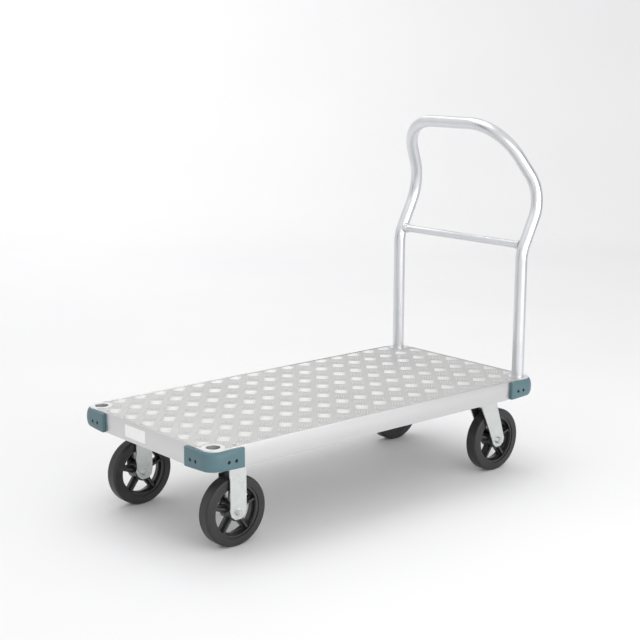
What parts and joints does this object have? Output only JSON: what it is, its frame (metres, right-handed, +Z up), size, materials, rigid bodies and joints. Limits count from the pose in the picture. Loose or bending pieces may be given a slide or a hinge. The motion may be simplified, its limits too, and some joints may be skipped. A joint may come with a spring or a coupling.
{
  "type": "platform truck",
  "caption": "Aluminium platform truck with a tread-plate deck, plastic corner bumpers, a bent tube push handle, rigid front casters and swivel rear casters.",
  "frame": {"origin": "on the floor, under the middle of the truck's overall box", "axes": "+X towards the push handle, +Y to the right of a person pushing, +Z up"},
  "size_m": [1.3241, 0.63, 1.1081],
  "materials": {
    "deck_aluminium": "tread plate, semi-bright",
    "rail_aluminium": "extruded, satin",
    "frame_aluminium": "mill finish",
    "cast_aluminium": "machined casting, bright",
    "handle_aluminium": "anodised, satin",
    "bumper_plastic": "moulded, satin",
    "dark_screw": "black oxide",
    "bright_screw": "bright",
    "zinc_steel": "zinc plated",
    "fork_steel": "zinc plated, bright",
    "bearing_steel": "ground",
    "wheel_black": "black enamel, semi-gloss",
    "tyre_rubber": "moulded rubber",
    "name_plate": "blank white film"
  },
  "bodies": {
    "truck": {"tread_plate": "deck_aluminium", "plate_screws": "bright_screw", "cross_members": "frame_aluminium", "side_rail_left": "rail_aluminium", "side_rail_right": "rail_aluminium", "end_rail_front": "rail_aluminium", "end_rail_rear": "rail_aluminium", "caster_channel_front": "frame_aluminium", "caster_channel_rear": "frame_aluminium", "corner_casting_front_left": "cast_aluminium", "corner_casting_front_right": "cast_aluminium", "corner_casting_rear_left": "cast_aluminium", "corner_casting_rear_right": "cast_aluminium", "corner_bumper_front_left": "bumper_plastic", "corner_bumper_front_right": "bumper_plastic", "corner_bumper_rear_left": "bumper_plastic", "corner_bumper_rear_right": "bumper_plastic", "bumper_screws": "dark_screw", "name_plate": "name_plate", "handle_tube": "handle_aluminium", "handle_crossbar": "handle_aluminium", "handle_end_plugs": "zinc_steel", "handle_bolts": "dark_screw", "caster_bolts": "zinc_steel", "caster_nuts": "zinc_steel", "rigid_fork_front_left": "fork_steel", "rigid_fork_front_right": "fork_steel", "swivel_plate_rear_left": "fork_steel", "swivel_plate_rear_right": "fork_steel", "kingpin_rear_left": "zinc_steel", "kingpin_rear_right": "zinc_steel", "axle_front_left": "zinc_steel", "axle_front_right": "zinc_steel", "axle_sleeve_front_left": "bearing_steel", "axle_sleeve_front_right": "bearing_steel"},
    "swivel_rear_left": {"swivel_fork_rear_left": "fork_steel", "swivel_balls_rear_left": "bearing_steel", "axle_rear_left": "zinc_steel", "axle_sleeve_rear_left": "bearing_steel"},
    "swivel_rear_right": {"swivel_fork_rear_right": "fork_steel", "swivel_balls_rear_right": "bearing_steel", "axle_rear_right": "zinc_steel", "axle_sleeve_rear_right": "bearing_steel"},
    "wheel_front_left": {"roller_cage_front_left": "bearing_steel", "wheel_centre_front_left": "wheel_black", "tyre_front_left": "tyre_rubber"},
    "wheel_front_right": {"roller_cage_front_right": "bearing_steel", "wheel_centre_front_right": "wheel_black", "tyre_front_right": "tyre_rubber"},
    "wheel_rear_left": {"roller_cage_rear_left": "bearing_steel", "wheel_centre_rear_left": "wheel_black", "tyre_rear_left": "tyre_rubber"},
    "wheel_rear_right": {"roller_cage_rear_right": "bearing_steel", "wheel_centre_rear_right": "wheel_black", "tyre_rear_right": "tyre_rubber"}
  },
  "joints": [
    {"name": "wheel_spin_front_left", "type": "hinge", "parent": "truck", "child": "wheel_front_left", "pos_m": [-0.524, -0.226, 0.1], "axis": [0, 1, 0], "continuous": true},
    {"name": "wheel_spin_front_right", "type": "hinge", "parent": "truck", "child": "wheel_front_right", "pos_m": [-0.524, 0.226, 0.1], "axis": [0, 1, 0], "continuous": true},
    {"name": "swivel_rear_left", "type": "hinge", "parent": "truck", "child": "swivel_rear_left", "pos_m": [0.464, -0.226, 0.22], "axis": [0, 0, 1], "continuous": true},
    {"name": "wheel_spin_rear_left", "type": "hinge", "parent": "swivel_rear_left", "child": "wheel_rear_left", "pos_m": [0.512, -0.226, 0.1], "axis": [0, 1, 0], "continuous": true},
    {"name": "swivel_rear_right", "type": "hinge", "parent": "truck", "child": "swivel_rear_right", "pos_m": [0.464, 0.226, 0.22], "axis": [0, 0, 1], "continuous": true},
    {"name": "wheel_spin_rear_right", "type": "hinge", "parent": "swivel_rear_right", "child": "wheel_rear_right", "pos_m": [0.512, 0.226, 0.1], "axis": [0, 1, 0], "continuous": true}
  ]
}
